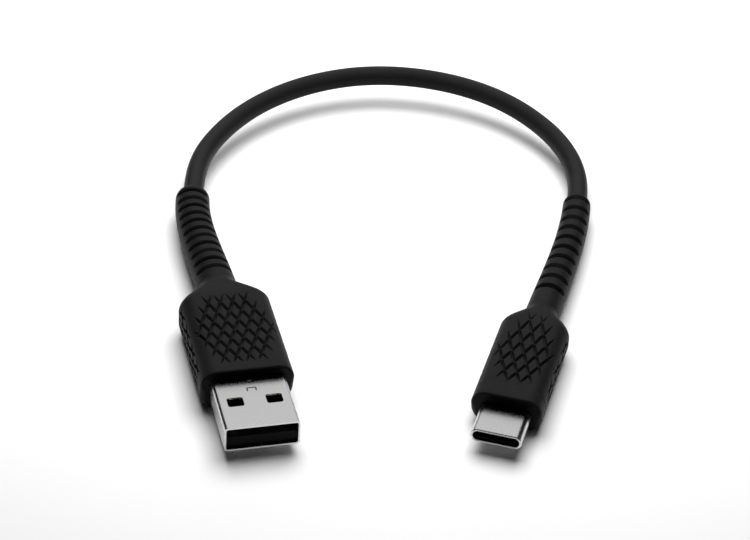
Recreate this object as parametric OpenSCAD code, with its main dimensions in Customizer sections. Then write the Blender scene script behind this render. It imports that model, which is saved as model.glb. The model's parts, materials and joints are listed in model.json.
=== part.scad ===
// Charging cable: a short stiff lead with a USB-A plug on one end and a USB-C plug on the other.
// Both plugs lie side by side and point along -Y. The cord leaves them along +Y and joins them
// in one arch. Z = 0 is the surface that the two grips rest on.

/* [Cord] */
// Outside diameter of the cord
cord_d = 3.6; // [3.2:0.1:4.2]
// Wall of the outer jacket
jacket_wall = 0.55; // [0.4:0.05:0.7]
// Thickness of the braided shield
braid_t = 0.2; // [0.1:0.05:0.25]

/* [USB-A connector] */
// Width of the metal shell
a_shell_w = 12.0; // [11:0.1:15]
// Height of the metal shell
a_shell_h = 4.5; // [4.3:0.1:5.5]
// Sheet metal thickness of the shell
a_shell_t = 0.3; // [0.25:0.05:0.35]
// Length of shell that stands out of the grip
a_shell_out = 12.1; // [10:0.1:15]
// Length of shell held inside the grip
a_shell_in = 6.5; // [5:0.5:8]
// Width of each latch window
a_window_w = 2.6; // [2:0.1:3.2]
// Length of each latch window along the shell
a_window_l = 2.2; // [1.5:0.1:3]
// Distance of the windows' middle from the mouth
a_window_y = 6.3; // [5.5:0.1:8]
// Distance of each window's middle from the shell's middle
a_window_x = 3.1; // [2.6:0.1:3.6]
// Width of each contact
a_contact_w = 1.0; // [0.8:0.1:1.2]

/* [USB-A grip] */
// Width of the grip
a_grip_w = 15.2; // [14.8:0.1:20]
// Thickness of the grip
a_grip_h = 7.8; // [7.5:0.1:10]
// Length of the grip with its neck
a_grip_l = 26.8; // [24:0.1:36]
// Length of the narrowing neck at the back of the grip
a_neck_l = 6.5; // [5:0.5:9]
// Radius along the grip's long edges
a_grip_r = 2.8; // [1:0.1:3]

/* [USB-A strain relief] */
// Length of the strain relief
a_relief_l = 28.5; // [28:0.1:36]
// Wall at the grip end
a_relief_wall = 1.65; // [1.5:0.05:1.75]
// Wall at the cord end
a_tip_wall = 1.15; // [0.8:0.05:1.4]
// Number of flex slots on each side
a_slots = 11; // [8:1:11]
// Spacing of the flex slots
a_slot_pitch = 2.37; // [2.1:0.01:2.4]
// Width of each flex slot
a_slot_w = 1.0; // [0.7:0.05:1.3]

/* [USB-C connector] */
// Width of the metal shell
c_shell_w = 8.25; // [8:0.05:10]
// Height of the metal shell
c_shell_h = 2.4; // [2.3:0.05:3]
// Wall of the metal shell
c_shell_t = 0.3; // [0.25:0.05:0.35]
// Length of shell that stands out of the grip
c_shell_out = 6.9; // [6:0.05:8]
// Length of shell held inside the grip
c_shell_in = 5.9; // [5:0.1:7]
// Spacing of the contacts
c_pitch = 0.5; // [0.45:0.01:0.52]
// Thickness of the circuit board
c_board_t = 0.8; // [0.6:0.1:0.9]
// Length of the circuit board
c_board_l = 9.0; // [7.5:0.5:10]

/* [USB-C grip] */
// Width of the grip
c_grip_w = 11.6; // [10.6:0.1:15]
// Thickness of the grip
c_grip_h = 6.5; // [6.3:0.1:8]
// Length of the grip with its neck
c_grip_l = 27.3; // [25:0.1:36]
// Length of the narrowing neck at the back of the grip
c_neck_l = 6.0; // [5:0.5:8]
// Radius along the grip's long edges
c_grip_r = 2.9; // [1:0.1:3.1]

/* [USB-C strain relief] */
// Length of the strain relief
c_relief_l = 35.2; // [34:0.1:42]
// Wall at the grip end
c_relief_wall = 1.1; // [1:0.05:1.15]
// Wall at the cord end
c_tip_wall = 0.7; // [0.6:0.05:0.9]
// Number of flex slots on each side
c_slots = 10; // [6:1:10]
// Spacing of the flex slots
c_slot_pitch = 3.17; // [2.8:0.01:3.4]
// Width of each flex slot
c_slot_w = 1.3; // [0.8:0.05:1.6]

/* [Hidden] */
$fn = 48;

// Space between pieces that fit together
fit = 0.05;
// Space between pieces that bend apart
gap = 0.3;
// Overreach of a cut past the face that it opens
over = 1;

// Control points of the cord's route, from the USB-A strain relief round to the USB-C one
route = [
    [-33.7, 30.2, 3.9], [-33.9, 36.3, 4.0], [-33.4, 42.4, 4.4], [-31.3, 48.5, 4.8],
    [-28.1, 54.6, 5.2], [-24.0, 60.0, 5.5], [-19.0, 64.7, 5.7], [-13.3, 68.3, 5.9],
    [-7.1, 70.8, 6.0], [-0.7, 71.9, 6.0], [5.5, 71.6, 6.0], [11.4, 70.4, 5.9],
    [17.0, 68.2, 5.7], [22.1, 65.1, 5.4], [26.6, 60.9, 5.0], [30.5, 56.0, 4.5],
    [33.3, 50.0, 4.0], [34.6, 43.2, 3.5], [34.1, 36.2, 3.25]
];
last = len(route) - 1;

// Turn of each plug and of its strain relief about Z, counted from +Y
a_plug_turn = 15.2;
a_relief_turn = 13.5;
c_plug_turn = -13.2;
c_relief_turn = -11.3;

a_plug_l = a_shell_out + a_grip_l;
c_plug_l = c_shell_out + c_grip_l;
a_relief_d = cord_d + 2 * a_relief_wall;
a_tip_d = cord_d + 2 * a_tip_wall;
c_relief_d = cord_d + 2 * c_relief_wall;
c_tip_d = cord_d + 2 * c_tip_wall;

// Distance of the last flex slot's middle from the cord end, and the wall left under a slot
a_last_slot = 2.2;
c_last_slot = 1.4;
slot_floor = 0.3;

// Layers of the cord, from the outside in
cord_sides = 10;
wire_sides = 8;
jacket_r = cord_d / 2;
braid_r = jacket_r - jacket_wall - fit;
core_r = (braid_r - braid_t) * cos(180 / cord_sides) - fit;
wire_r = core_r / (1 + sqrt(2));
wire_off = wire_r + fit / 2;
lead_off = wire_r + 2 * fit;
lead_gap = 0.2;

// Where each wire lies across the cord, and which contact it goes to
power_seat = [-1, 1];
ground_seat = [1, 1];
data_minus_seat = [-1, -1];
data_plus_seat = [1, -1];

// Cable end inside each plug: its bore and the crimp sleeve, which fills this share of the neck
bore_d = cord_d + 2 * fit;
sleeve_t = 0.35;
sleeve_share = 0.7;

// USB-A shell details
a_shell_l = a_shell_out + a_shell_in;
a_in_w = a_shell_w - 2 * a_shell_t;
a_in_h = a_shell_h - 2 * a_shell_t;
a_corner_r = 0.35;
a_window_r = 0.4;
a_seam_w = 0.1;
a_slit_w = 0.2;
a_tab_w = 1.6;
a_tab_l = 0.8;
a_tab_y = a_shell_out - 2.6;
a_dimple_y = a_shell_out - 1.0;
a_dimple_d = 0.9;
a_dimple_top_d = 0.5;
a_dimple_h = 0.2;

// USB-A insides
a_tongue_t = 1.9;
a_tongue_inset = 0.6;
a_tongue_top = -a_in_h / 2 + fit + a_tongue_t;
a_base_l = 8.5;
a_base_end = 0.2;
a_strip_t = 0.2;
a_tail_l = 2.4;
a_contact_x = [1.0, 3.5];
a_contact_start = [3.4, 2.4];
a_mould_r = 1.0;
a_mould_w = a_shell_w - 2 * a_shell_t;
a_mould_h = (a_shell_h + a_grip_h) / 2 - 0.5;
a_mould_end = a_plug_l - a_neck_l + 0.7;
a_sleeve_end = a_mould_end + sleeve_share * a_neck_l;
a_fan_room = 0.4;
a_fan_x = a_contact_x[1] + a_contact_w;
a_fan_bend = a_shell_l + a_tail_l + 1;

// USB-C insides
c_shell_l = c_shell_out + c_shell_in;
c_in_w = c_shell_w - 2 * c_shell_t;
c_in_h = c_shell_h - 2 * c_shell_t;
c_cavity_w = 6.9;
c_cavity_h = 0.8;
c_cavity_l = 6.2;
c_housing_inset = 0.5;
c_housing_end = c_shell_l - 0.3;
c_contact_w = 0.25;
c_contact_start = 1.2;
c_contact_end = c_shell_l + 1.2;
c_strip_t = 0.15;
c_spring_t = 0.12;
c_spring_w = 5.4;
c_spring_l = 4.0;
c_spring_y = 1.3;
c_latch_t = 0.2;
c_latch_h = 0.55;
c_latch_l = 9.5;
c_latch_nose = 0.35;
c_latch_y = c_shell_l - c_latch_l - 0.4;
c_latch_travel = 0.25;
c_pad_x = 0.8;
c_pad_l = 1.5;
c_board_w = c_in_w - 0.4;
c_board_end = c_housing_end + c_board_l;
c_pocket_w = c_board_w + 2 * fit;
c_pocket_h = 3.0;
c_pocket_end = c_board_end + 0.3;
c_lead_room = 1.2;
c_chip_x = 1.8;
c_chip_y = c_housing_end + 3.4;
c_chip_w = 1.0;
c_chip_l = 0.5;
c_resistor_h = 0.35;
c_capacitor_h = 0.5;
c_mould_r = 1.4;
c_mould_w = (c_shell_w + c_grip_w) / 2 - 0.5;
c_mould_h = (c_shell_h + c_grip_h) / 2;
c_mould_end = c_plug_l - c_neck_l - 1.4;
c_sleeve_end = c_mould_end + sleeve_share * c_neck_l;
// Seats of the contacts, counted in pitches from the middle
c_upper = [-5.5, -2.5, -1.5, -0.5, 0.5, 2.5, 5.5];
c_lower = [-5.5, -2.5, 2.5, 5.5];

// Points of the cord's middle line: the smooth curve that the control points pull
function middle(i) =
    i == 0 || i == last ? route[i] : (route[i - 1] + 4 * route[i] + route[i + 1]) / 6;
function heading(turn) = [-sin(turn), cos(turn), 0];
function unit(v) = v / norm(v);
function along(i) =
    i == 0 ? heading(a_relief_turn) :
    i == last ? -heading(c_relief_turn) :
    unit(middle(i + 1) - middle(i - 1));
function across(i) = unit(cross(along(i), [0, 0, 1]));
function upward(i) = cross(across(i), along(i));

// One ring of points round the middle line, with its centre moved by off
function ring(i, r, sides, off) = [
    for (k = [0 : sides - 1]) let (a = 360 * k / sides)
        middle(i) + across(i) * (off[0] + r * cos(a)) + upward(i) * (off[1] + r * sin(a))
];
// Side faces between neighbouring rings, the first ring starting at point "first"
function sides_of(first, sides) = [
    for (i = [0 : last - 1], k = [0 : sides - 1])
        let (n = (k + 1) % sides, here = first + i * sides, next = here + sides)
            [here + k, here + n, next + n, next + k]
];
function flipped(faces) = [for (f = faces) [for (k = [len(f) - 1 : -1 : 0]) f[k]]];

// A solid cord layer along the route
module swept_rod(r, sides, off) {
    points = [for (i = [0 : last], p = ring(i, r, sides, off)) p];
    start_cap = [for (k = [0 : sides - 1]) sides - 1 - k];
    end_cap = [for (k = [0 : sides - 1]) last * sides + k];
    polyhedron(points, concat(sides_of(0, sides), [start_cap, end_cap]), convexity = 6);
}

// A hollow cord layer along the route
module swept_tube(r_out, r_in, sides) {
    count = (last + 1) * sides;
    points = concat(
        [for (i = [0 : last], p = ring(i, r_out, sides, [0, 0])) p],
        [for (i = [0 : last], p = ring(i, r_in, sides, [0, 0])) p]
    );
    start_cap = [for (k = [0 : sides - 1]) let (n = (k + 1) % sides) [n, k, count + k, count + n]];
    tail = last * sides;
    end_cap = [
        for (k = [0 : sides - 1]) let (n = (k + 1) % sides)
            [tail + k, tail + n, count + tail + n, count + tail + k]
    ];
    polyhedron(
        points,
        concat(sides_of(0, sides), flipped(sides_of(count, sides)), start_cap, end_cap),
        convexity = 6
    );
}

module outer_jacket() { color("#2b2b2c") swept_tube(jacket_r, jacket_r - jacket_wall, cord_sides); }
module shield_braid() { color("#b9a68c") swept_tube(braid_r, braid_r - braid_t, cord_sides); }
module cord_wire(seat) { swept_rod(wire_r, wire_sides, seat * wire_off); }
module power_wire() { color("#b8231f") cord_wire(power_seat); }
module ground_wire() { color("#1d1d1f") cord_wire(ground_seat); }
module data_plus_wire() { color("#2c8a45") cord_wire(data_plus_seat); }
module data_minus_wire() { color("#e8e6df") cord_wire(data_minus_seat); }

// Frames: a plug's origin is the middle of its mouth and +Y goes towards the cord.
// A strain relief's origin is its grip end.
module a_relief_frame() {
    translate(route[0]) rotate([0, 0, a_relief_turn]) translate([0, -a_relief_l, 0]) children();
}
module a_frame() {
    a_relief_frame() rotate([0, 0, a_plug_turn - a_relief_turn])
        translate([0, -a_plug_l, 0]) children();
}
module c_relief_frame() {
    translate(route[last]) rotate([0, 0, c_relief_turn]) translate([0, -c_relief_l, 0]) children();
}
module c_frame() {
    c_relief_frame() rotate([0, 0, c_plug_turn - c_relief_turn])
        translate([0, -c_plug_l, 0]) children();
}

// A flat outline drawn out along +Y, with the outline's own Y turned up to Z
module drawn(from, to) {
    translate([0, to, 0]) rotate([90, 0, 0]) linear_extrude(to - from) children();
}
module rounded(w, h, r) {
    square([w - 2 * r, h], center = true);
    square([w, h - 2 * r], center = true);
    for (x = [-1, 1], y = [-1, 1]) translate([x * (w / 2 - r), y * (h / 2 - r)]) circle(r);
}
module obround(w, h) {
    square([w - h, h], center = true);
    for (x = [-1, 1]) translate([x * (w - h) / 2, 0]) circle(d = h);
}
// A block from its low corner to its high corner
module block(low, high) { translate(low) cube(high - low); }
// A round bar from one point to another
module bar(from, to, d) {
    v = to - from;
    translate(from) rotate([0, acos(v[2] / norm(v)), atan2(v[1], v[0])]) cylinder(d = d, h = norm(v));
}
module cylinder_y(from, to, d) {
    translate([0, from, 0]) rotate([-90, 0, 0]) cylinder(d = d, h = to - from);
}

// Outline of a grip from above: straight sides, then shoulders that flow into a neck
function eased(t) = t * t * (3 - 2 * t);
module grip_plan(w, l, neck_l, neck_w) {
    steps = 8;
    right = [for (k = [0 : steps]) let (t = k / steps)
        [w / 2 + (neck_w - w) / 2 * eased(t), l - neck_l * (1 - t)]];
    polygon(concat(
        [[-w / 2, 0], [w / 2, 0]],
        right,
        [for (k = [steps : -1 : 0]) [-right[k][0], right[k][1]]]
    ));
}
module grip_body(w, h, l, r, neck_l, neck_w) {
    intersection() {
        drawn(0, l) rounded(w, h, r);
        linear_extrude(2 * h, center = true) grip_plan(w, l, neck_l, neck_w);
    }
}

// A tapered round sleeve with flex slots cut in from above and below
module relief(l, d, tip_d, slots, pitch, slot_w, last_slot) {
    slot_depth = (tip_d - cord_d) / 2 - slot_floor;
    first = l - last_slot - (slots - 1) * pitch;
    difference() {
        translate([0, gap, 0]) rotate([-90, 0, 0]) cylinder(d1 = d, d2 = tip_d, h = l - gap);
        cylinder_y(-over, l + over, bore_d);
        for (k = [0 : slots - 1], side = [-1, 1]) {
            y = first + k * pitch;
            local_r = (d + (tip_d - d) * y / l) / 2;
            translate([0, y, side * (local_r + over - slot_depth)])
                cube([2 * local_r, slot_w, 2 * over], center = true);
        }
    }
}

// The cable's end from inside the plug, through the grip's neck, to the end of the strain relief
module cable_run(in_grip, turn, relief_l) {
    cylinder_y(0, relief_l, cord_d);
    rotate([0, 0, turn]) cylinder_y(-in_grip, gap, cord_d - 2 * fit);
}

/* USB-A plug */
module a_shell_outline() {
    difference() {
        rounded(a_shell_w, a_shell_h, a_corner_r + a_shell_t);
        rounded(a_in_w, a_in_h, a_corner_r);
        translate([0, -a_shell_h / 2]) square([a_seam_w, 3 * a_shell_t], center = true);
    }
}
module usb_a_shell() {
    color("#d6d6d6") a_frame() {
        difference() {
            drawn(0, a_shell_l) a_shell_outline();
            for (x = [-1, 1], side = [-1, 1])
                translate([x * a_window_x, a_window_y, side * a_shell_h / 2])
                    linear_extrude(4 * a_shell_t, center = true)
                        rounded(a_window_w, a_window_l, a_window_r);
            // Lanced tab: a three-sided slit near the grip
            translate([0, a_tab_y, a_shell_h / 2]) linear_extrude(4 * a_shell_t, center = true) {
                square([a_tab_w, a_slit_w], center = true);
                for (x = [-1, 1])
                    translate([x * (a_tab_w - a_slit_w) / 2, -a_tab_l / 2])
                        square([a_slit_w, a_tab_l], center = true);
            }
        }
        // Raised dimple beside the tab
        translate([0, a_dimple_y, a_shell_h / 2 - a_slit_w])
            cylinder(d1 = a_dimple_d, d2 = a_dimple_top_d, h = a_dimple_h + a_slit_w);
    }
}
module usb_a_tongue() {
    color("#17181a") a_frame() difference() {
        drawn(a_tongue_inset, a_shell_l - a_base_end)
            rounded(a_in_w - 2 * fit, a_in_h - 2 * fit, a_corner_r);
        block([-a_in_w, -over, a_tongue_top], [a_in_w, a_shell_l - a_base_l, a_in_h]);
        for (k = [0, 1], x = [-1, 1])
            translate([x * a_contact_x[k], 0, 0])
                block([-a_contact_w / 2 - fit, a_contact_start[k] - 2 * fit,
                       a_tongue_top - a_strip_t - fit],
                      [a_contact_w / 2 + fit, a_shell_l + over, a_tongue_top + fit]);
    }
}
module a_contacts(k) {
    color("#d9b45a") a_frame() for (x = [-1, 1])
        translate([x * a_contact_x[k], 0, 0])
            block([-a_contact_w / 2, a_contact_start[k], a_tongue_top - a_strip_t],
                  [a_contact_w / 2, a_shell_l + a_tail_l, a_tongue_top]);
}
module usb_a_data_contacts() { a_contacts(0); }
module usb_a_power_contacts() { a_contacts(1); }

// The wires fan out from the cable's end to the contacts inside this pocket
module a_fan() {
    linear_extrude(2 * (core_r + a_fan_room), center = true) polygon([
        [-a_fan_x, a_shell_l - over], [a_fan_x, a_shell_l - over], [a_fan_x, a_fan_bend],
        [core_r + a_fan_room, a_mould_end], [core_r + a_fan_room, a_mould_end + over],
        [-core_r - a_fan_room, a_mould_end + over], [-core_r - a_fan_room, a_mould_end],
        [-a_fan_x, a_fan_bend]
    ]);
}
module usb_a_inner_mould() {
    color("#d8d5cc") a_frame() difference() {
        drawn(a_shell_l + fit, a_mould_end) rounded(a_mould_w, a_mould_h, a_mould_r);
        a_fan();
    }
}
module usb_a_crimp_sleeve() {
    color("#c2c4c6") a_frame() difference() {
        cylinder_y(a_mould_end + fit, a_sleeve_end, bore_d + 2 * sleeve_t);
        cylinder_y(a_mould_end - over, a_sleeve_end + over, bore_d);
    }
}
module a_lead(seat, x) {
    a_frame() bar([seat[0] * lead_off, a_mould_end - lead_gap, seat[1] * lead_off],
                  [x, a_shell_l + a_tail_l + lead_gap, a_tongue_top + wire_r], 2 * wire_r);
}
module usb_a_power_lead() { color("#b8231f") a_lead(power_seat, -a_contact_x[1]); }
module usb_a_data_minus_lead() { color("#e8e6df") a_lead(data_minus_seat, -a_contact_x[0]); }
module usb_a_data_plus_lead() { color("#2c8a45") a_lead(data_plus_seat, a_contact_x[0]); }
module usb_a_ground_lead() { color("#1d1d1f") a_lead(ground_seat, a_contact_x[1]); }
module usb_a_grip() {
    color("#2e2e2f") a_frame() difference() {
        translate([0, a_shell_out, 0])
            grip_body(a_grip_w, a_grip_h, a_grip_l, a_grip_r, a_neck_l, a_relief_d);
        drawn(a_shell_out - over, a_shell_l + fit)
            rounded(a_shell_w + 2 * fit, a_shell_h + 2 * fit, a_corner_r + a_shell_t);
        drawn(a_shell_l, a_mould_end + fit)
            rounded(a_mould_w + 2 * fit, a_mould_h + 2 * fit, a_mould_r);
        cylinder_y(a_mould_end, a_sleeve_end + fit, bore_d + 2 * sleeve_t + 2 * fit);
        cylinder_y(a_mould_end, a_plug_l + over, bore_d);
    }
}
module usb_a_strain_relief() {
    color("#333334") a_relief_frame()
        relief(a_relief_l, a_relief_d, a_tip_d, a_slots, a_slot_pitch, a_slot_w, a_last_slot);
}
module usb_a_cable_run() {
    color("#2b2b2c") a_relief_frame()
        cable_run(a_plug_l - a_mould_end, a_plug_turn - a_relief_turn, a_relief_l);
}

/* USB-C plug */
module usb_c_shell() {
    color("#e0e0e0") c_frame() drawn(0, c_shell_l) difference() {
        obround(c_shell_w, c_shell_h);
        obround(c_in_w, c_in_h);
    }
}
// Strips for one row of contacts, grown on every side by "grow", that reach back to "end"
module c_strips(seats, side, grow, end) {
    w = c_contact_w / 2 + grow;
    t = c_strip_t / 2 + grow;
    for (s = seats) translate([s * c_pitch, 0, side * (c_board_t / 2 + fit + c_strip_t / 2)])
        block([-w, c_contact_start - grow, -t], [w, end, t]);
}
// A latch arm from above: a springy strip with a nose that grips the socket's tongue.
// The housing's slot is the same outline grown, with room outwards for the arm's travel.
module c_latch_plan(side, grow, travel) {
    out = c_latch_t + grow + travel;
    tip = -c_latch_nose - grow;
    translate([side * (c_cavity_w / 2 - c_latch_nose), c_latch_y])
        mirror([side < 0 ? 1 : 0, 0]) polygon([
            [-grow, -grow], [tip, 0.7 - grow], [tip, 1.3 + grow],
            [-grow, 2.2 + grow], [-grow, c_latch_l + grow], [out, c_latch_l + grow], [out, -grow]
        ]);
}
module usb_c_housing() {
    room = 2 * fit;
    color("#141516") c_frame() difference() {
        drawn(c_housing_inset, c_housing_end) obround(c_in_w - room, c_in_h - room);
        drawn(0, c_cavity_l) square([c_cavity_w, c_cavity_h], center = true);
        c_strips(c_upper, 1, fit, c_shell_l + over);
        c_strips(c_lower, -1, fit, c_shell_l + over);
        for (side = [-1, 1])
            linear_extrude(c_latch_h + room, center = true) c_latch_plan(side, room, c_latch_travel);
        for (side = [-1, 1]) translate([0, 0, side * (c_in_h / 2)])
            block([-c_spring_w / 2 - room, c_spring_y - room, -c_spring_t - room],
                  [c_spring_w / 2 + room, c_spring_y + c_spring_l + room, c_spring_t + room]);
    }
}
module usb_c_upper_contacts() { color("#d9b45a") c_frame() c_strips(c_upper, 1, 0, c_contact_end); }
module usb_c_lower_contacts() { color("#d9b45a") c_frame() c_strips(c_lower, -1, 0, c_contact_end); }
module c_latch(side) {
    color("#c8cacc") c_frame() linear_extrude(c_latch_h, center = true) c_latch_plan(side, 0, 0);
}
module usb_c_left_latch() { c_latch(-1); }
module usb_c_right_latch() { c_latch(1); }
module usb_c_ground_springs() {
    color("#cfd1d3") c_frame() for (side = [-1, 1])
        translate([0, 0, side * (c_in_h / 2 - fit - c_spring_t / 2)])
            block([-c_spring_w / 2, c_spring_y, -c_spring_t / 2],
                  [c_spring_w / 2, c_spring_y + c_spring_l, c_spring_t / 2]);
}
module usb_c_circuit_board() {
    color("#1f5a38") c_frame()
        block([-c_board_w / 2, c_housing_end + fit, -c_board_t / 2],
              [c_board_w / 2, c_board_end, c_board_t / 2]);
}
module c_chip(x, h) {
    c_frame() translate([x, c_chip_y, c_board_t / 2])
        block([-c_chip_w / 2, -c_chip_l / 2, 0], [c_chip_w / 2, c_chip_l / 2, h]);
}
module usb_c_resistor() { color("#202022") c_chip(-c_chip_x, c_resistor_h); }
module usb_c_capacitor() { color("#b08a5c") c_chip(c_chip_x, c_capacitor_h); }
module usb_c_inner_mould() {
    color("#d8d5cc") c_frame() difference() {
        drawn(c_shell_l + fit, c_mould_end) rounded(c_mould_w, c_mould_h, c_mould_r);
        drawn(c_shell_l - over, c_pocket_end) square([c_pocket_w, c_pocket_h], center = true);
        drawn(c_board_end, c_mould_end + over)
            square([2 * core_r + c_lead_room, c_pocket_h], center = true);
    }
}
module usb_c_crimp_sleeve() {
    color("#c2c4c6") c_frame() difference() {
        cylinder_y(c_mould_end + fit, c_sleeve_end, bore_d + 2 * sleeve_t);
        cylinder_y(c_mould_end - over, c_sleeve_end + over, bore_d);
    }
}
module c_lead(seat) {
    pad_z = seat[1] * (c_board_t / 2 + wire_r + 3 * fit);
    c_frame() bar([seat[0] * lead_off, c_mould_end - lead_gap, seat[1] * lead_off],
                  [seat[0] * c_pad_x, c_board_end - c_pad_l, pad_z], 2 * wire_r);
}
module usb_c_power_lead() { color("#b8231f") c_lead(power_seat); }
module usb_c_ground_lead() { color("#1d1d1f") c_lead(ground_seat); }
module usb_c_data_plus_lead() { color("#2c8a45") c_lead(data_plus_seat); }
module usb_c_data_minus_lead() { color("#e8e6df") c_lead(data_minus_seat); }
module usb_c_grip() {
    color("#2e2e2f") c_frame() difference() {
        translate([0, c_shell_out, 0])
            grip_body(c_grip_w, c_grip_h, c_grip_l, c_grip_r, c_neck_l, c_relief_d);
        drawn(c_shell_out - over, c_shell_l + fit) obround(c_shell_w + 2 * fit, c_shell_h + 2 * fit);
        drawn(c_shell_l, c_mould_end + fit)
            rounded(c_mould_w + 2 * fit, c_mould_h + 2 * fit, c_mould_r);
        cylinder_y(c_mould_end, c_sleeve_end + fit, bore_d + 2 * sleeve_t + 2 * fit);
        cylinder_y(c_mould_end, c_plug_l + over, bore_d);
    }
}
module usb_c_strain_relief() {
    color("#333334") c_relief_frame()
        relief(c_relief_l, c_relief_d, c_tip_d, c_slots, c_slot_pitch, c_slot_w, c_last_slot);
}
module usb_c_cable_run() {
    color("#2b2b2c") c_relief_frame()
        cable_run(c_plug_l - c_mould_end, c_plug_turn - c_relief_turn, c_relief_l);
}

outer_jacket();
shield_braid();
power_wire();
ground_wire();
data_plus_wire();
data_minus_wire();
usb_a_shell();
usb_a_tongue();
usb_a_power_contacts();
usb_a_data_contacts();
usb_a_inner_mould();
usb_a_crimp_sleeve();
usb_a_power_lead();
usb_a_ground_lead();
usb_a_data_plus_lead();
usb_a_data_minus_lead();
usb_a_grip();
usb_a_strain_relief();
usb_a_cable_run();
usb_c_shell();
usb_c_housing();
usb_c_upper_contacts();
usb_c_lower_contacts();
usb_c_left_latch();
usb_c_right_latch();
usb_c_ground_springs();
usb_c_circuit_board();
usb_c_resistor();
usb_c_capacitor();
usb_c_inner_mould();
usb_c_crimp_sleeve();
usb_c_power_lead();
usb_c_ground_lead();
usb_c_data_plus_lead();
usb_c_data_minus_lead();
usb_c_grip();
usb_c_strain_relief();
usb_c_cable_run();
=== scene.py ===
import json
import math

import bpy
import numpy as np
from mathutils import Matrix, Quaternion, Vector


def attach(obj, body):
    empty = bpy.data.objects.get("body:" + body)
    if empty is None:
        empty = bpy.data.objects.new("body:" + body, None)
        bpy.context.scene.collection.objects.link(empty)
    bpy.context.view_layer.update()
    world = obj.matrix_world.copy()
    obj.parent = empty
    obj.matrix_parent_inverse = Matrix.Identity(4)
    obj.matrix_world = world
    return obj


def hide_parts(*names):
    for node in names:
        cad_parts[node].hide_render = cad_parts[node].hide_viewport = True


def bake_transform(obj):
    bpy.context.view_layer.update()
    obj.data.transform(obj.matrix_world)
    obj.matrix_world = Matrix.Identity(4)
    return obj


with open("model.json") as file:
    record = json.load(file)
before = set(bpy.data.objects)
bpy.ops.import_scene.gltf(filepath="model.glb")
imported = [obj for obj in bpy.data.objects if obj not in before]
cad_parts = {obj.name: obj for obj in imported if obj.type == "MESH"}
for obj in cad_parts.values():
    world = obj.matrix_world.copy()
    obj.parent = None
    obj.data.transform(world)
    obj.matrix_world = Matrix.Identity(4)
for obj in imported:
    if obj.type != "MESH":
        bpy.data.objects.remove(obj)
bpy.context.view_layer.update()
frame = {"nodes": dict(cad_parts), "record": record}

mm = 0.001
scene = bpy.context.scene
scene.view_settings.view_transform = "Standard"
print("frame loaded:", len(frame["nodes"]), "nodes")

# A number that a node tree works out, so that sums can be written as sums
class Term:
    def __init__(self, tree, socket):
        self.tree, self.socket = tree, socket

    def node(self, kind, values, **settings):
        node = self.tree.nodes.new(kind)
        for name, value in settings.items():
            setattr(node, name, value)
        for place, value in zip(node.inputs, values):
            if isinstance(value, Term):
                self.tree.links.new(value.socket, place)
            else:
                place.default_value = value
        return node

    def apply(self, operation, *others):
        return Term(self.tree, self.node("ShaderNodeMath", (self, *others), operation=operation).outputs[0])

    def __add__(self, other):
        return self.apply("ADD", other)

    def __sub__(self, other):
        return self.apply("SUBTRACT", other)

    def __mul__(self, other):
        return self.apply("MULTIPLY", other)

    def __truediv__(self, other):
        return self.apply("DIVIDE", other)

    def __neg__(self):
        return self * -1.0

    def __abs__(self):
        return self.apply("ABSOLUTE")

    def least(self, other):
        return self.apply("MINIMUM", other)

    def most(self, other):
        return self.apply("MAXIMUM", other)

    def power(self, other):
        return self.apply("POWER", other)

    def floor(self):
        return self.apply("FLOOR")

    def nearest(self):
        return self.apply("ROUND")

    def eased(self, low, high, start=0.0, end=1.0):
        node = self.node("ShaderNodeMapRange", (self, low, high, start, end), interpolation_type="SMOOTHSTEP")
        return Term(self.tree, node.outputs[0])


# Camera, floor and light
studio = {
    "lookAt": (-1.0, 16.7, 0.0),      # mm
    "distance": 439.85,
    "elevation": 35.33,               # degrees above the floor
    "roll": 3.43,
    "lens": 122.6,
    "sensorWidth": 36.0,
    "nearestSeen": 0.01,              # m
    "floorSize": 3.0,
    "floorTone": 0.9,
    "floorSockets": {"Roughness": 0.9, "Specular IOR Level": 0.1},
    "lightsAimAt": (0.0, 0.02, 0.0),
    "topLight": {"size": 0.2, "power": 0.8, "at": (0.0, 0.074, 0.2), "mirrored": False},
    "backLight": {"size": 0.9, "power": 1.7, "at": (0.0, 0.75, 0.5), "mirrored": True},
    "worldLevel": 0.01,
    "bounceTone": 0.03,
    "mirrorTone": 0.7,
}


def makeCamera():
    look = Vector(studio["lookAt"]) * mm
    tilt = math.radians(studio["elevation"])
    back = Vector((0, -math.cos(tilt), math.sin(tilt)))
    camera = bpy.data.objects.new("camera", bpy.data.cameras.new("camera"))
    camera.data.lens = studio["lens"]
    camera.data.sensor_width = studio["sensorWidth"]
    camera.data.clip_start = studio["nearestSeen"]
    camera.location = look + back * studio["distance"] * mm
    turn = (-back).to_track_quat("-Z", "Y") @ Quaternion((0, 0, 1), math.radians(studio["roll"]))
    camera.rotation_euler = turn.to_euler()
    scene.collection.objects.link(camera)
    scene.camera = camera


def makeAreaLight(name, settings):
    light = bpy.data.lights.new(name, "AREA")
    light.shape = "SQUARE"
    light.size = settings["size"]
    light.energy = settings["power"]
    lamp = bpy.data.objects.new(name, light)
    lamp.location = settings["at"]
    lamp.visible_glossy = settings["mirrored"]
    aim = Vector(studio["lightsAimAt"]) - lamp.location
    lamp.rotation_euler = aim.to_track_quat("-Z", "Y").to_euler()
    scene.collection.objects.link(lamp)


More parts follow.
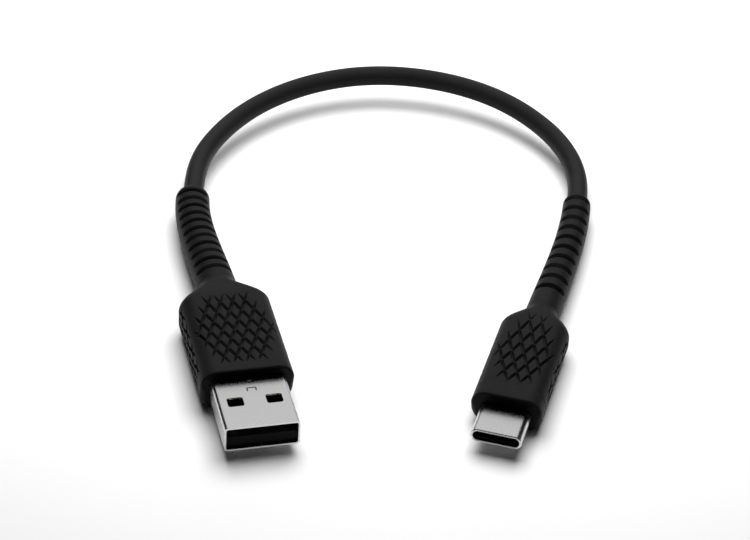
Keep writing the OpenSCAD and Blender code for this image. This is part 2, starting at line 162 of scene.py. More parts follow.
def makeStudio():
    half = studio["floorSize"] / 2
    corners = [(-half, -half, 0), (half, -half, 0), (half, half, 0), (-half, half, 0)]
    mesh = bpy.data.meshes.new("floor")
    mesh.from_pydata(corners, [], [(0, 1, 2, 3)])
    floor = bpy.data.objects.new("floor", mesh)
    scene.collection.objects.link(floor)
    paint = bpy.data.materials.new("floorPaint")
    paint.use_nodes = True
    tree = paint.node_tree
    surface = tree.nodes["Principled BSDF"]
    # The floor looks bright but throws little light back up on the cable
    tone, bounce = studio["floorTone"], studio["bounceTone"]
    ray = tree.nodes.new("ShaderNodeLightPath")
    seen, mirrored = Term(tree, ray.outputs["Is Camera Ray"]), Term(tree, ray.outputs["Is Glossy Ray"])
    shade = seen * (tone - bounce) + mirrored * (studio["mirrorTone"] - bounce) + bounce
    tree.links.new(shade.socket, surface.inputs["Base Color"])
    for name, value in studio["floorSockets"].items():
        surface.inputs[name].default_value = value
    mesh.materials.append(paint)
    makeAreaLight("topLight", studio["topLight"])
    makeAreaLight("backLight", studio["backLight"])
    world = bpy.data.worlds.new("world")
    world.use_nodes = True
    sky = world.node_tree.nodes["Background"]
    sky.inputs["Color"].default_value = (1, 1, 1, 1)
    sky.inputs["Strength"].default_value = studio["worldLevel"]
    scene.world = world


makeCamera()
makeStudio()
print("camera and studio made")


# Meshes made of rings of points
def ringMesh(name, rings, caps=(False, False)):
    count, sides = rings.shape[:2]
    here = np.arange(sides)
    there = (here + 1) % sides
    start = np.arange(count - 1)[:, None] * sides
    quads = np.stack([start + here, start + there, start + sides + there, start + sides + here], -1)
    quads = quads.reshape(-1, 4)
    points = rings.reshape(-1, 3)
    corners = points[quads]
    middle = points.mean(0)
    cross = np.cross(corners[:, 1] - corners[:, 0], corners[:, 2] - corners[:, 0])
    insideOut = np.einsum("ij,ij->", cross, corners[:, 0] - middle) < 0
    faces = quads.tolist()
    if caps[0]:
        faces.append(here[::-1].tolist())
    if caps[1]:
        faces.append((here + (count - 1) * sides).tolist())
    if insideOut:
        faces = [face[::-1] for face in faces]
    mesh = bpy.data.meshes.new(name)
    mesh.from_pydata(points.tolist(), [], faces)
    mesh.shade_smooth()
    mesh.validate()
    return mesh


def addNumbers(mesh, name, values):
    layer = mesh.attributes.new(name, "FLOAT", "POINT")
    layer.data.foreach_set("value", np.asarray(values, dtype=np.float32).ravel())


cornerPoints = 25


# Evenly spaced points round a rounded rectangle, from the middle of its top and clockwise seen from the mouth
def roundedRing(halfWide, halfHigh, radius, count):
    arc = np.linspace(0, math.pi / 2, cornerPoints)
    x = halfWide - radius + radius * np.sin(arc)
    z = halfHigh - radius + radius * np.cos(arc)
    quarterX = np.concatenate([[0], x, [halfWide]])
    quarterZ = np.concatenate([[halfHigh], z, [0]])
    outlineX = np.concatenate([quarterX, quarterX[::-1], -quarterX, -quarterX[::-1]])
    outlineZ = np.concatenate([quarterZ, -quarterZ[::-1], -quarterZ, quarterZ[::-1]])
    steps = np.hypot(np.diff(outlineX), np.diff(outlineZ))
    travel = np.concatenate([[0], np.cumsum(steps)])
    at = np.arange(count) / count * travel[-1]
    return np.interp(at, travel, outlineX), np.interp(at, travel, outlineZ)


def eased(t):
    t = np.clip(t, 0, 1)
    return t * t * (3 - 2 * t)


# Where each plug is: its mouth, the direction towards the cord, and the direction to its right
mounts = {mount["name"]: mount for mount in frame["record"]["mounts"]}


def plugFrame(mountName):
    mount = mounts[mountName]
    ahead = -np.array(mount["axis"])
    side = np.array([ahead[1], -ahead[0], 0.0])
    return np.array(mount["pos_m"]) / mm, ahead, side


def plugMatrix(mountName):
    mouth, ahead, side = plugFrame(mountName)
    turn = Matrix((side, ahead, (0, 0, 1))).transposed().to_4x4()
    return Matrix.Translation(Vector(mouth * mm)) @ turn @ Matrix.Scale(mm, 4)


# Runs a Geometry Nodes tree over a mesh and returns the plain mesh that comes out
def runNodes(name, mesh, tree, values):
    piece = bpy.data.objects.new(name, mesh)
    scene.collection.objects.link(piece)
    modifier = piece.modifiers.new("nodes", "NODES")
    modifier.node_group = tree
    for item in tree.interface.items_tree:
        if item.in_out == "INPUT" and item.name in values:
            modifier[item.identifier] = values[item.name]
    graph = bpy.context.evaluated_depsgraph_get()
    made = bpy.data.meshes.new_from_object(piece.evaluated_get(graph))
    piece.modifiers.clear()
    piece.data = made
    made.name = name
    return piece


def startTree(name, numbers):
    tree = bpy.data.node_groups.new(name, "GeometryNodeTree")
    tree.interface.new_socket("Geometry", in_out="INPUT", socket_type="NodeSocketGeometry")
    for label in numbers:
        tree.interface.new_socket(label, in_out="INPUT", socket_type="NodeSocketFloat")
    tree.interface.new_socket("Material", in_out="INPUT", socket_type="NodeSocketMaterial")
    tree.interface.new_socket("Geometry", in_out="OUTPUT", socket_type="NodeSocketGeometry")
    given = tree.nodes.new("NodeGroupInput")
    return tree, given, {label: Term(tree, given.outputs[label]) for label in numbers}


# Pushes the surface in by the given depth and ends the tree
def endTree(tree, given, depth):
    nodes, links = tree.nodes, tree.links
    push = nodes.new("ShaderNodeVectorMath")
    push.operation = "SCALE"
    links.new(nodes.new("GeometryNodeInputNormal").outputs[0], push.inputs[0])
    links.new((-depth).socket, push.inputs["Scale"])
    move = nodes.new("GeometryNodeSetPosition")
    links.new(given.outputs["Geometry"], move.inputs["Geometry"])
    links.new(push.outputs[0], move.inputs["Offset"])
    real = nodes.new("GeometryNodeRealizeInstances")
    links.new(move.outputs[0], real.inputs[0])
    paint = nodes.new("GeometryNodeSetMaterial")
    links.new(real.outputs[0], paint.inputs["Geometry"])
    links.new(given.outputs["Material"], paint.inputs["Material"])
    links.new(paint.outputs[0], nodes.new("NodeGroupOutput").inputs[0])


# The depth and the scale of the slight unevenness of moulded rubber
unevenSurface = {"grip": (0.012, 1.4), "relief": (0.01, 1.6)}


def unevenness(tree, seed, kind):
    amount, scale = unevenSurface[kind]
    noise = tree.nodes.new("ShaderNodeTexNoise")
    noise.noise_dimensions = "4D"
    noise.inputs["Scale"].default_value = scale
    tree.links.new(tree.nodes.new("GeometryNodeInputPosition").outputs[0], noise.inputs["Vector"])
    tree.links.new(seed.socket, noise.inputs["W"])
    return (Term(tree, noise.outputs[0]) - 0.5) * amount


# Shader node groups that several materials share
def startGroup(name, inputs, outputs):
    group = bpy.data.node_groups.new(name, "ShaderNodeTree")
    for label, kind, value in inputs:
        socket = group.interface.new_socket(label, in_out="INPUT", socket_type=kind)
        if value is not None:
            socket.default_value = value
    for label, kind in outputs:
        group.interface.new_socket(label, in_out="OUTPUT", socket_type=kind)
    return group, group.nodes.new("NodeGroupInput"), group.nodes.new("NodeGroupOutput")


def noiseTerm(tree, vector, scale, detail=2.0):
    noise = tree.nodes.new("ShaderNodeTexNoise")
    noise.inputs["Detail"].default_value = detail
    tree.links.new(vector, noise.inputs["Vector"])
    tree.links.new(scale.socket, noise.inputs["Scale"])
    return Term(tree, noise.outputs[0])


grain = {"fineDetail": 3.0, "broadness": 14.0, "fineShare": 0.8}
drawn = {"lineDetail": 4.0, "cloudSize": 3.0, "cloudTone": 0.4, "cloudRoughness": 0.5}


# Fine grain, a broader mottle and a roughness that follows them
def makeGrainGroup():
    group, given, result = startGroup(
        "surfaceGrain",
        [("Vector", "NodeSocketVector", None), ("Scale", "NodeSocketFloat", 2500.0),
         ("Roughness", "NodeSocketFloat", 0.6), ("Spread", "NodeSocketFloat", 0.1)],
        [("Tone", "NodeSocketFloat"), ("Roughness", "NodeSocketFloat"), ("Height", "NodeSocketFloat")])
    scale, rough, spread = (Term(group, given.outputs[k]) for k in ("Scale", "Roughness", "Spread"))
    fine = noiseTerm(group, given.outputs["Vector"], scale, grain["fineDetail"])
    broad = noiseTerm(group, given.outputs["Vector"], scale / grain["broadness"])
    tone = broad.eased(0.3, 0.7) * spread - spread * 0.5 + 1.0
    group.links.new(tone.socket, result.inputs["Tone"])
    group.links.new((rough + (fine - 0.5) * spread * 2.0).socket, result.inputs["Roughness"])
    height = fine * grain["fineShare"] + broad * (1.0 - grain["fineShare"])
    group.links.new(height.socket, result.inputs["Height"])
    return group


# Long fine scratches along one direction of the vector
def makeDrawnGroup():
    group, given, result = startGroup(
        "drawnMetal",
        [("Vector", "NodeSocketVector", None), ("Stretch", "NodeSocketVector", (1.0, 30.0, 1.0)),
         ("Scale", "NodeSocketFloat", 400.0), ("Roughness", "NodeSocketFloat", 0.3),
         ("Spread", "NodeSocketFloat", 0.16)],
        [("Tone", "NodeSocketFloat"), ("Roughness", "NodeSocketFloat"), ("Height", "NodeSocketFloat")])
    stretched = group.nodes.new("ShaderNodeVectorMath")
    stretched.operation = "MULTIPLY"
    group.links.new(given.outputs["Vector"], stretched.inputs[0])
    group.links.new(given.outputs["Stretch"], stretched.inputs[1])
    scale, rough, spread = (Term(group, given.outputs[k]) for k in ("Scale", "Roughness", "Spread"))
    lines = noiseTerm(group, stretched.outputs[0], scale, drawn["lineDetail"])
    clouds = noiseTerm(group, given.outputs["Vector"], scale / drawn["cloudSize"])
    tone = (clouds - 0.5) * spread * drawn["cloudTone"] + 1.0
    roughness = rough + (lines - 0.5) * spread + (clouds - 0.5) * spread * drawn["cloudRoughness"]
    group.links.new(tone.socket, result.inputs["Tone"])
    group.links.new(roughness.socket, result.inputs["Roughness"])
    group.links.new(lines.socket, result.inputs["Height"])
    return group


grainGroup = makeGrainGroup()
drawnGroup = makeDrawnGroup()


def makeMaterial(slot, finish):
    material = bpy.data.materials.new(slot)
    material.use_nodes = True
    tree = material.node_tree
    surface = tree.nodes["Principled BSDF"]
    for name, value in finish["sockets"].items():
        surface.inputs[name].default_value = value
    place = tree.nodes.new("ShaderNodeTexCoord").outputs["Object"]
    effect = tree.nodes.new("ShaderNodeGroup")
    effect.node_tree = drawnGroup if finish.get("metal") else grainGroup
    tree.links.new(place, effect.inputs["Vector"])
    for name, value in finish["effect"].items():
        effect.inputs[name].default_value = value
    tint = tree.nodes.new("ShaderNodeVectorMath")
    tint.operation = "SCALE"
    tint.inputs[0].default_value = finish["color"]
    tree.links.new(effect.outputs["Tone"], tint.inputs["Scale"])
    color = tint.outputs[0]
    if finish.get("pattern"):
        color = finish["pattern"](tree, place, color)
    tree.links.new(color, surface.inputs["Base Color"])
    tree.links.new(effect.outputs["Roughness"], surface.inputs["Roughness"])
    bump = tree.nodes.new("ShaderNodeBump")
    bump.inputs["Strength"].default_value = finish["bump"][0]
    bump.inputs["Distance"].default_value = finish["bump"][1] * mm
    tree.links.new(effect.outputs["Height"], bump.inputs["Height"])
    tree.links.new(bump.outputs[0], surface.inputs["Normal"])
    return material


# The plain color where the mask is 0, and the color that comes in where it is 1
def mixColors(tree, mask, plain, color):
    mix = tree.nodes.new("ShaderNodeMix")
    mix.data_type = "RGBA"
    tree.links.new(mask.socket, mix.inputs[0])
    mix.inputs[6].default_value = (*plain, 1)
    tree.links.new(color, mix.inputs[7])
    return mix.outputs[2]


# Crossing strands, light on top and dark in the gaps: the dark in the gaps is painted shade, a darker copy of
# the strand colour
braid = {"strands": 9000.0, "lean": 0.6, "edge": (-0.2, 0.7), "paintedGapShade": (0.22, 0.17, 0.12)}


def braidStrandsAndGapShade(tree, place, color):
    parts = tree.nodes.new("ShaderNodeSeparateXYZ")
    tree.links.new(place, parts.inputs[0])
    x, y, z = (Term(tree, parts.outputs[k]) for k in range(3))
    over = ((y + z + x * braid["lean"]) * braid["strands"]).apply("SINE")
    under = ((y - z - x * braid["lean"]) * braid["strands"]).apply("SINE")
    # Painted shade: the gaps between the strands get the darker shaded colour
    return mixColors(tree, over.most(under).eased(*braid["edge"]), braid["paintedGapShade"], color)


# Copper tracks under the solder mask
board = {"tracks": 3600.0, "waves": 900.0, "waviness": 0.4, "edge": (0.25, 0.4), "copper": (0.05, 0.24, 0.09)}


def boardPattern(tree, place, color):
    parts = tree.nodes.new("ShaderNodeSeparateXYZ")
    tree.links.new(place, parts.inputs[0])
    x, y = (Term(tree, parts.outputs[k]) for k in range(2))
    waves = (y * board["waves"]).apply("SINE") * board["waviness"]
    tracks = abs((x * board["tracks"]).apply("SINE") + waves).eased(*board["edge"])
    return mixColors(tree, tracks, board["copper"], color)


rubber = {"Specular IOR Level": 0.14}
plastic = {"Specular IOR Level": 0.12}
finishes = {
    "grip": {"color": (0.0095, 0.0095, 0.0096), "bump": (0.35, 0.02), "sockets": rubber,
             "effect": {"Scale": 2600.0, "Roughness": 0.52, "Spread": 0.12}},
    "jacket": {"color": (0.014, 0.014, 0.0141), "bump": (0.25, 0.015), "sockets": rubber,
               "effect": {"Scale": 2000.0, "Roughness": 0.45, "Spread": 0.1}},
    "shell_steel": {"color": (0.82, 0.82, 0.82), "metal": True, "bump": (0.03, 0.01),
                    "sockets": {"Metallic": 1.0},
                    "effect": {"Stretch": (1.0, 1.0, 1.0), "Scale": 2500.0, "Roughness": 0.28,
                               "Spread": 0.05}},
    "spring_steel": {"color": (0.66, 0.67, 0.68), "metal": True, "bump": (0.1, 0.01),
                     "effect": {"Stretch": (1.0, 8.0, 1.0), "Scale": 1200.0, "Roughness": 0.24},
                     "sockets": {"Metallic": 1.0}},
    "contact_gold": {"color": (0.85, 0.62, 0.27), "metal": True, "bump": (0.1, 0.01),
                     "effect": {"Stretch": (6.0, 1.0, 1.0), "Scale": 1500.0, "Roughness": 0.22},
                     "sockets": {"Metallic": 1.0}},
    "braid": {"color": (0.74, 0.66, 0.56), "effect": {"Scale": 3000.0, "Roughness": 0.35, "Spread": 0.15},
              "bump": (0.5, 0.05), "sockets": {"Metallic": 1.0}, "pattern": braidStrandsAndGapShade},
    "connector_plastic": {"color": (0.011, 0.011, 0.012), "bump": (0.2, 0.01), "sockets": plastic,
                          "effect": {"Scale": 3500.0, "Roughness": 0.5, "Spread": 0.12}},
    "inner_mould": {"color": (0.72, 0.69, 0.62), "bump": (0.15, 0.03),
                    "effect": {"Scale": 900.0, "Roughness": 0.42, "Spread": 0.06},
                    "sockets": {"Subsurface Weight": 0.25, "Subsurface Scale": 0.002}},
    "circuit_board": {"color": (0.02, 0.13, 0.05), "bump": (0.1, 0.01), "pattern": boardPattern,
                      "effect": {"Scale": 1500.0, "Roughness": 0.3, "Spread": 0.1},
                      "sockets": {"Coat Weight": 0.4}},
    "resistor": {"color": (0.016, 0.016, 0.018), "bump": (0.1, 0.01), "sockets": plastic,
                 "effect": {"Scale": 6000.0, "Roughness": 0.45, "Spread": 0.1}},
    "capacitor": {"color": (0.44, 0.28, 0.15), "bump": (0.1, 0.01), "sockets": plastic,
                  "effect": {"Scale": 6000.0, "Roughness": 0.4, "Spread": 0.1}},
}
insulation = {"red": (0.52, 0.025, 0.02), "black": (0.014, 0.014, 0.015),
              "green": (0.03, 0.27, 0.07), "white": (0.8, 0.78, 0.73)}
for name, color in insulation.items():
    finishes[name + "_insulation"] = {
        "color": color, "effect": {"Scale": 2200.0, "Roughness": 0.38, "Spread": 0.08},
        "bump": (0.12, 0.02), "sockets": {"Specular IOR Level": 0.5, "Coat Weight": 0.1}}
materials = {slot: makeMaterial(slot, finish) for slot, finish in finishes.items()}
for part in frame["record"]["subparts"]:
    mesh = frame["nodes"][part["node"]].data
    mesh.materials.clear()
    mesh.materials.append(materials[part["material_slot"]])
print("materials made:", len(materials))

# Cord
cord = {
    "diameter": 3.6,                  # mm
    "route": [
        (-33.7, 30.2, 3.9), (-33.9, 36.3, 4.0), (-33.4, 42.4, 4.4), (-31.3, 48.5, 4.8),
        (-28.1, 54.6, 5.2), (-24.0, 60.0, 5.5), (-19.0, 64.7, 5.7), (-13.3, 68.3, 5.9),
        (-7.1, 70.8, 6.0), (-0.7, 71.9, 6.0), (5.5, 71.6, 6.0), (11.4, 70.4, 5.9),
        (17.0, 68.2, 5.7), (22.1, 65.1, 5.4), (26.6, 60.9, 5.0), (30.5, 56.0, 4.5),
        (33.3, 50.0, 4.0), (34.6, 43.2, 3.5), (34.1, 36.2, 3.25),
    ],
    "stepsBetween": 8,
    "roundness": 12,
}


def splinePoint(p, i, t):
    last = len(p) - 1
    a, b, c, d = (np.array(p[min(max(k, 0), last)]) for k in (i - 1, i, i + 1, i + 2))
    a = 2 * b - c if i == 0 else a
    d = 2 * c - b if i + 1 == last else d
    return ((1 - t) ** 3 * a + (3 * t ** 3 - 6 * t ** 2 + 4) * b
            + (-3 * t ** 3 + 3 * t ** 2 + 3 * t + 1) * c + t ** 3 * d) / 6


def makeCordPoints():
    p, n = cord["route"], cord["stepsBetween"]
    points = [splinePoint(p, i, k / n) for i in range(len(p) - 1) for k in range(n)]
    return np.array(points + [np.array(p[-1])])


def lengthOf(points):
    return float(np.linalg.norm(np.diff(points, axis=0), axis=1).sum())


cordPoints = makeCordPoints()


def makeCord():
    curve = bpy.data.curves.new("cord_jacket", "CURVE")
    curve.dimensions = "3D"
    curve.bevel_depth = cord["diameter"] / 2 * mm
    curve.bevel_resolution = cord["roundness"]
    curve.use_fill_caps = True
    spline = curve.splines.new("POLY")
    spline.points.add(len(cordPoints) - 1)
    for point, place in zip(spline.points, cordPoints):
        point.co = (*(place * mm), 1)
    spline.use_smooth = True
    curve.materials.append(materials["jacket"])
    piece = bpy.data.objects.new("cord_jacket", curve)
    scene.collection.objects.link(piece)
    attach(piece, "cord")
    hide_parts("outer_jacket")
    print("cord made:", round(lengthOf(cordPoints), 1), "mm")


makeCord()

# Grips
grips = {
    "usb_a": {
        "plugLength": 38.9, "front": 12.1, "width": 15.2, "height": 7.8, "radius": 2.8,
        "neck": 6.5, "neckRadius": 3.45, "shell": (12.0, 4.5, 0.65), "topEdge": 0.35, "bottomEdge": 1.6,
        "lattice": {"Column Pitch": 2.02, "Row Pitch": 2.41, "Row Growth": 0.0145, "Centre Across": -0.1,
                    "Centre Along": 22.77, "Reach": 3.0, "Fade": 4.05, "Rows": 3.0, "Front Fade": 3.9,
                    "Rear Fade": 4.0},
        "patterned": (13.6, 33.6),
    },
    "usb_c": {
        "plugLength": 34.2, "front": 6.9, "width": 11.6, "height": 6.5, "radius": 2.7,
        "neck": 6.0, "neckRadius": 2.9, "shell": (8.25, 2.4, 1.2), "topEdge": 0.35, "bottomEdge": 1.5,
        "lattice": {"Column Pitch": 2.03, "Row Pitch": 2.8, "Row Growth": 0.0268, "Centre Across": 0.05,
                    "Centre Along": 18.93, "Reach": 2.0, "Fade": 3.05, "Rows": 2.4, "Front Fade": 3.4,
                    "Rear Fade": 3.9},
        "patterned": (9.9, 30.6),
    },
}
groove = {"Half Width": 0.27, "Depth": 0.55, "Wall": 0.07, "Bridge": 0.475, "Taper": 6.0, "Side Squeeze": 1.5,
          "Seed": 3.0}
# How far in from the grip's faces each patch of the pattern begins and is complete
patches = {"level": (1.2, 0.9), "upright": (0.5, 0.3), "top": (0.7, 1.6), "sides": (1.2, 1.9)}
gripMesh = {"sides": 400, "fine": 0.106, "coarse": 0.35, "edgeRings": 9, "tailRings": 24}
gripFront = {"gap": 0.06, "depth": 2.5, "lip": 0.12, "faceRings": (0.04, 0.3, 0.65, 0.97), "edgeTurn": 0.9,
             "edgeMargin": 0.1}
gripEnd = 0.6


# Grooves along two families of slanted lines. Each groove is a row of pockets that end in points,
# with a bridge left standing at every crossing, and the pockets past the last crossings taper away.
def makeLatticeTree():
    tree, given, value = startTree("gripLattice", [
        "Column Pitch", "Row Pitch", "Row Growth", "Centre Across", "Centre Along", "Reach", "Fade", "Rows",
        "Front Fade", "Rear Fade", "Grip Half Width", "Grip Half Height", "Half Width", "Depth", "Wall",
        "Bridge", "Taper", "Side Squeeze", "Seed"])
    parts = tree.nodes.new("ShaderNodeSeparateXYZ")
    tree.links.new(tree.nodes.new("GeometryNodeInputPosition").outputs[0], parts.inputs[0])
    x, y, z = (Term(tree, parts.outputs[k]) for k in range(3))
    t = (y - value["Centre Along"]) / value["Row Pitch"]
    k = t - t * t * value["Row Growth"]
    slope = value["Row Pitch"] * 2.0 / value["Column Pitch"]
    perCell = value["Row Pitch"] * 2.0 / (slope * slope + 1.0).power(0.5)

    def pockets(across, ends):
        twice = (across / value["Column Pitch"]) * 2.0
        a, b = (k + twice) * 0.5, (k - twice) * 0.5
        beyond = abs(a).most(abs(b))
        fade = ((value["Fade"] - beyond) / (value["Fade"] - value["Reach"])).least(1.0).most(0.0)
        rear = (value["Rear Fade"] - k) / (value["Rear Fade"] - value["Rows"])
        front = (value["Front Fade"] + k) / (value["Front Fade"] - value["Rows"])
        fade = fade.least(rear).least(front).most(0.0) * ends

        def family(line, position):
            off = abs(line - line.nearest()) * perCell
            toBridge = abs(position - position.floor() - 0.5) / value["Bridge"]
            half = (-toBridge.power(value["Taper"]) + 1.0).most(0.0) * value["Half Width"] * fade
            return (half - off).eased(0.0, value["Wall"]) * fade.power(0.5)
        return family(a, b).most(family(b, a))

    def patch(name, place, half):
        begins, complete = patches[name]
        return abs(place).eased(half - begins, half - complete)

    halfWide, halfHigh = value["Grip Half Width"], value["Grip Half Height"]
    top = pockets(x - value["Centre Across"], patch("top", x, halfWide)) * patch("level", z, halfHigh)
    sides = pockets(z * value["Side Squeeze"], patch("sides", z, halfHigh)) * patch("upright", x, halfWide)
    depth = top.most(sides) * value["Depth"] + unevenness(tree, value["Seed"], "grip")
    endTree(tree, given, depth)
    return tree


# A ring of points from their places across, along and up
def ringAt(x, along, z):
    return np.stack([x, np.broadcast_to(along, x.shape), z], -1)


# The directions straight out of a ring's outline
def outwards(x, z):
    stepX, stepZ = np.roll(x, -1) - np.roll(x, 1), np.roll(z, -1) - np.roll(z, 1)
    step = np.hypot(stepX, stepZ)
    return -stepZ / step, stepX / step


def makeGrip(plug, tree):
    settings = grips[plug]
    half, high, r = settings["width"] / 2, settings["height"] / 2, settings["radius"]
    front, end, neck = settings["front"], settings["plugLength"], settings["neck"]
    slim, sides = settings["neckRadius"], gripMesh["sides"]
    patternStart, patternEnd = settings["patterned"]

    def section(v):
        t = eased((v - (end - neck)) / neck)
        return roundedRing(half + (slim - half) * t, high + (slim - high) * t, r + (slim - r) * t, sides)

    x, z = section(front)
    outX, outZ = outwards(x, z)
    low = eased(0.5 - z / high * gripFront["edgeTurn"])
    edge = settings["topEdge"] + (settings["bottomEdge"] - settings["topEdge"]) * low
    wide, tall, corner = settings["shell"]
    gap = gripFront["gap"]
    holeX, holeZ = roundedRing(wide / 2 + gap, tall / 2 + gap, corner + gap, sides)
    rings = [ringAt(holeX, front + gripFront[place], holeZ) for place in ("depth", "lip")]
    faceX, faceZ = x - outX * edge, z - outZ * edge
    for t in gripFront["faceRings"]:
        rings.append(ringAt(holeX + (faceX - holeX) * t, front, holeZ + (faceZ - holeZ) * t))
    for turn in np.linspace(0, math.pi / 2, gripMesh["edgeRings"]):
        inset, ahead = edge * (1 - math.sin(turn)), edge * (1 - math.cos(turn))
        rings.append(ringAt(x - outX * inset, front + ahead, z - outZ * inset))
    startCoarse = front + settings["bottomEdge"] + gripFront["edgeMargin"]
    along = np.concatenate([
        np.arange(startCoarse, patternStart, gripMesh["coarse"]),
        np.arange(patternStart, patternEnd, gripMesh["fine"]),
        np.linspace(patternEnd, end, gripMesh["tailRings"])])
    for v in along:
        x, z = section(v)
        rings.append(ringAt(x, v, z))
    rings.append(ringAt(x * gripEnd, end, z * gripEnd))
    values = dict(settings["lattice"], **groove)
    values.update({"Grip Half Width": half, "Grip Half Height": high, "Material": materials["grip"]})
    name = plug + "_grip_rubber"
    piece = runNodes(name, ringMesh(name, np.array(rings)), tree, values)
    piece.data.transform(plugMatrix(plug + "_nose"))
    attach(piece, plug + "_plug")
    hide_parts(plug + "_grip")
    print(plug, "grip made:", len(piece.data.polygons), "faces")


latticeTree = makeLatticeTree()
for plug in grips:
    makeGrip(plug, latticeTree)

# Strain reliefs
reliefs = {
    "usb_a": {"exit": 0, "radius": (3.45, 2.95), "slots": 11, "last": 2.2, "pitch": 2.37, "width": 1.0,
              "depth": (1.5, 1.0), "spread": 60.0, "split": 14.5, "bend": (1.0, 14.0, 15.0, 27.5),
              "tip": 1.3, "collar": 0.25},
    "usb_c": {"exit": -1, "radius": (2.9, 2.45), "slots": 10, "last": 1.5, "pitch": 3.17, "width": 1.3,
              "depth": (1.0, 0.55), "spread": 62.0, "split": 18.0, "bend": (1.0, 17.0, 18.5, 34.0),
              "tip": 1.0, "collar": 0.2},
}
reliefMesh = {"sides": 96, "step": 0.11, "tipRings": 10, "linePoints": 600, "aheadStep": 0.05, "wall": 0.12,
              "seed": 5.0, "farFromSlots": -9.0}


# Rows of slots above and below, each with round ends, as deep as the sleeve's wall allows
def makeSlotTree():
    tree, given, value = startTree("flexSlots", [
        "First", "Pitch", "Slots", "Width", "Front Depth", "Rear Depth", "Length", "Half Spread", "Wall",
        "Seed"])

    def stored(name):
        node = tree.nodes.new("GeometryNodeInputNamedAttribute")
        node.data_type = "FLOAT"
        node.inputs["Name"].default_value = name
        return Term(tree, node.outputs[0])

    along, turn, radius = stored("along"), stored("turn"), stored("radius")
    number = ((along - value["First"]) / value["Pitch"]).nearest().most(0.0).least(value["Slots"] - 1.0)
    off = along - value["First"] - number * value["Pitch"]
    fromTop = turn.least(-turn + math.pi) * radius
    past = (fromTop - value["Half Spread"] * radius + value["Width"] * 0.5).most(0.0)
    distance = (past * past + off * off).power(0.5)
    mask = (value["Width"] * 0.5 - distance).eased(0.0, value["Wall"])
    depth = value["Front Depth"] + (value["Rear Depth"] - value["Front Depth"]) * (along / value["Length"])
    endTree(tree, given, mask * depth + unevenness(tree, value["Seed"], "relief"))
    return tree


# The middle line from the end of the grip to the start of the free cord
def reliefLine(plug):
    mouth, ahead = plugFrame(plug + "_nose")[:2]
    start = mouth + ahead * grips[plug]["plugLength"]
    points = cordPoints if reliefs[plug]["exit"] == 0 else cordPoints[::-1]
    end, leave = points[0], points[1] - points[0]
    reach = np.linalg.norm(end - start)
    leave = leave / np.linalg.norm(leave)
    t = np.linspace(0, 1, reliefMesh["linePoints"])[:, None]
    line = ((2 * t ** 3 - 3 * t ** 2 + 1) * start + (t ** 3 - 2 * t ** 2 + t) * reach * ahead
            + (-2 * t ** 3 + 3 * t ** 2) * end + (t ** 3 - t ** 2) * reach * leave)
    travel = np.concatenate([[0], np.cumsum(np.linalg.norm(np.diff(line, axis=0), axis=1))])
    return line, travel


# The points of a line at the given distances along it
def pointsOn(line, travel, places):
    return np.stack([np.interp(places, travel, line[:, k]) for k in range(3)], -1)


# Rings round the middle line at the given distances along it
def ringsAlong(line, travel, places, radii, sides):
    step = reliefMesh["aheadStep"]
    centre = pointsOn(line, travel, places)
    reach = np.clip(places, step, travel[-1] - step)
    ahead = pointsOn(line, travel, reach + step) - pointsOn(line, travel, reach - step)
    ahead /= np.linalg.norm(ahead, axis=1)[:, None]
    side = np.cross(ahead, (0, 0, 1))
    side /= np.linalg.norm(side, axis=1)[:, None]
    up = np.cross(side, ahead)
    angle = np.arange(sides) / sides * 2 * math.pi
    spoke = side[:, None] * np.sin(angle)[None, :, None] + up[:, None] * np.cos(angle)[None, :, None]
    return centre[:, None] + spoke * np.asarray(radii)[:, None, None]


def makeRelief(plug, tree):
    settings = reliefs[plug]
    line, travel = reliefLine(plug)
    length, cordRadius = travel[-1], cord["diameter"] / 2
    frontRadius, rearRadius = settings["radius"]
    places = np.arange(0, length - settings["tip"], reliefMesh["step"])
    radii = frontRadius + (rearRadius - frontRadius) * places / length
    turn = np.linspace(0, math.pi / 2, reliefMesh["tipRings"])
    collar = cordRadius + settings["collar"]
    tipPlaces = length - settings["tip"] * (1 - np.sin(turn))
    tipRadii = collar + (radii[-1] - collar) * np.cos(turn)
    places, radii = np.concatenate([places, tipPlaces[1:]]), np.concatenate([radii, tipRadii[1:]])
    start, middle, restart, end = settings["bend"]
    split = int(np.searchsorted(places, settings["split"]))
    sides = reliefMesh["sides"]
    angle = np.arange(sides) / sides * 2 * math.pi
    turnFromTop = np.minimum(angle, 2 * math.pi - angle)
    values = {"First": length - settings["last"] - (settings["slots"] - 1) * settings["pitch"],
              "Pitch": settings["pitch"], "Slots": float(settings["slots"]), "Width": settings["width"],
              "Front Depth": settings["depth"][0], "Rear Depth": settings["depth"][1], "Length": length,
              "Half Spread": math.radians(settings["spread"]), "Wall": reliefMesh["wall"],
              "Seed": reliefMesh["seed"], "Material": materials["grip"]}
    halves = {"front": (0, split + 1, plug + "_plug", plug + "_relief", start, middle),
              "rear": (split, len(places), plug + "_relief", "cord", restart, end)}
    for half, (first, last, bodyA, bodyB, bendStart, bendEnd) in halves.items():
        at = np.concatenate([[places[first]], places[first:last], [places[last - 1]]])
        wide = np.concatenate([[cordRadius], radii[first:last], [cordRadius]])
        slotPlaces = at.copy()
        slotPlaces[[0, -1]] = reliefMesh["farFromSlots"]
        name = f"{plug}_relief_{half}"
        mesh = ringMesh(name, ringsAlong(line, travel, at, wide, sides))
        addNumbers(mesh, "along", np.repeat(slotPlaces, sides))
        addNumbers(mesh, "turn", np.tile(turnFromTop, len(at)))
        addNumbers(mesh, "radius", np.repeat(wide, sides))
        piece = runNodes(name, mesh, tree, values)
        piece.data.transform(Matrix.Scale(mm, 4))
        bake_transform(piece)
        if half == "front":
            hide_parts(plug + "_strain_relief")
    print(plug, "strain relief made:", round(length, 1), "mm")


# The cable's end inside the sleeve, in the same two lengths. It starts inside the grip.
cableRun = {"lead": 5.0, "clearance": 0.02, "rings": 60, "sides": 32}


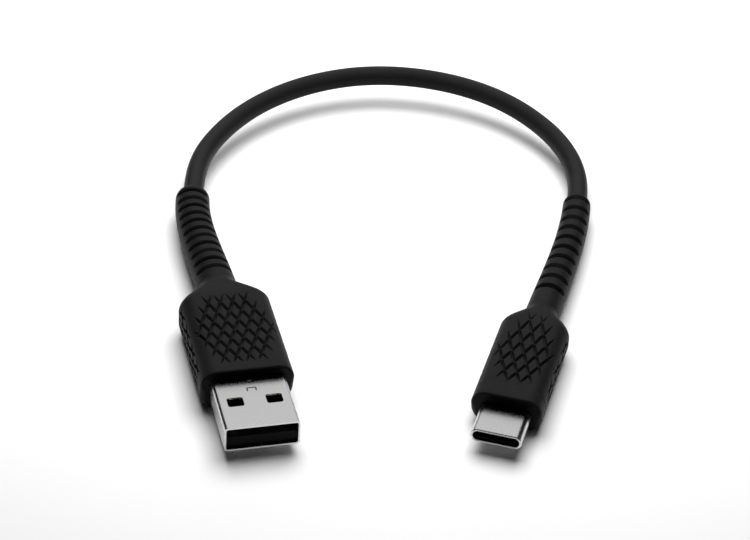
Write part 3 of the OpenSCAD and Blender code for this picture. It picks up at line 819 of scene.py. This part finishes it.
def makeRun(plug):
    settings = reliefs[plug]
    line, travel = reliefLine(plug)
    ahead = plugFrame(plug + "_nose")[1]
    lead, count = cableRun["lead"], cableRun["rings"]
    line = np.concatenate([[line[0] - ahead * lead], line])
    travel = np.concatenate([[0], travel + lead])
    radii = np.full(count, cord["diameter"] / 2 - cableRun["clearance"])
    split = settings["split"] + lead
    start, middle, restart, end = (place + lead for place in settings["bend"])
    halves = {"front": (0, split, plug + "_plug", plug + "_relief", start, middle),
              "rear": (split, travel[-1], plug + "_relief", "cord", restart, end)}
    for half, (low, high, bodyA, bodyB, bendStart, bendEnd) in halves.items():
        rings = ringsAlong(line, travel, np.linspace(low, high, count), radii, cableRun["sides"])
        mesh = ringMesh(f"{plug}_run_{half}", rings, (True, True))
        mesh.materials.append(materials["jacket"])
        mesh.transform(Matrix.Scale(mm, 4))
        piece = bpy.data.objects.new(mesh.name, mesh)
        scene.collection.objects.link(piece)
        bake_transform(piece)
        if half == "front":
            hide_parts(plug + "_cable_run")


slotTree = makeSlotTree()
for plug in reliefs:
    makeRelief(plug, slotTree)
    makeRun(plug)

# Shells
shells = {
    "a": {"lip": 0.07, "steps": 3, "roundsPast": 50.0},
    "c": {"half": (4.125, 1.2), "length": 12.8, "wall": 0.3, "lip": 0.16, "arcRings": 7, "sides": 240,
          "outside": (2.0, 0.31), "rim": [(0.0, 0.2), (0.07, 0.25), (0.05, 0.32)],
          "bead": 0.1, "beadRise": 0.06, "beadStart": 0.33, "insideStart": 0.45, "flat": 0.001},
}


def makeShells():
    steel = frame["nodes"]["usb_a_shell"]
    bevel = steel.modifiers.new("bevel", "BEVEL")
    bevel.width = shells["a"]["lip"] * mm
    bevel.segments = shells["a"]["steps"]
    bevel.limit_method = "ANGLE"
    bevel.angle_limit = math.radians(shells["a"]["roundsPast"])
    settings = shells["c"]
    wide, tall = settings["half"]
    length, lip, wall, bead = (settings[k] for k in ("length", "lip", "wall", "bead"))
    # Each point's distance from the mouth and distance in from the outside: outside, lip, rim, bead, inside
    profile = [(length, 0.0)] + [(v, 0.0) for v in settings["outside"]]
    for turn in np.linspace(0, math.pi / 2, settings["arcRings"]):
        profile.append((lip * (1 - math.sin(turn)), lip * (1 - math.cos(turn))))
    profile += settings["rim"]
    for turn in np.linspace(0, math.pi, settings["arcRings"]):
        rise = settings["beadRise"] * math.sin(turn)
        profile.append((bead * (1 - math.cos(turn)), settings["beadStart"] + rise))
    profile += [(settings["insideStart"], wall), (length, wall), (length, 0.0)]
    rings = []
    for v, inset in profile:
        x, z = roundedRing(wide - inset, tall - inset, tall - inset - settings["flat"], settings["sides"])
        rings.append(ringAt(x, v, z))
    mesh = ringMesh("usb_c_shell_steel", np.array(rings))
    mesh.materials.append(materials["shell_steel"])
    mesh.transform(plugMatrix("usb_c_nose"))
    piece = bpy.data.objects.new(mesh.name, mesh)
    scene.collection.objects.link(piece)
    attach(piece, "usb_c_plug")
    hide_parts("usb_c_shell")
    print("shells made")


makeShells()
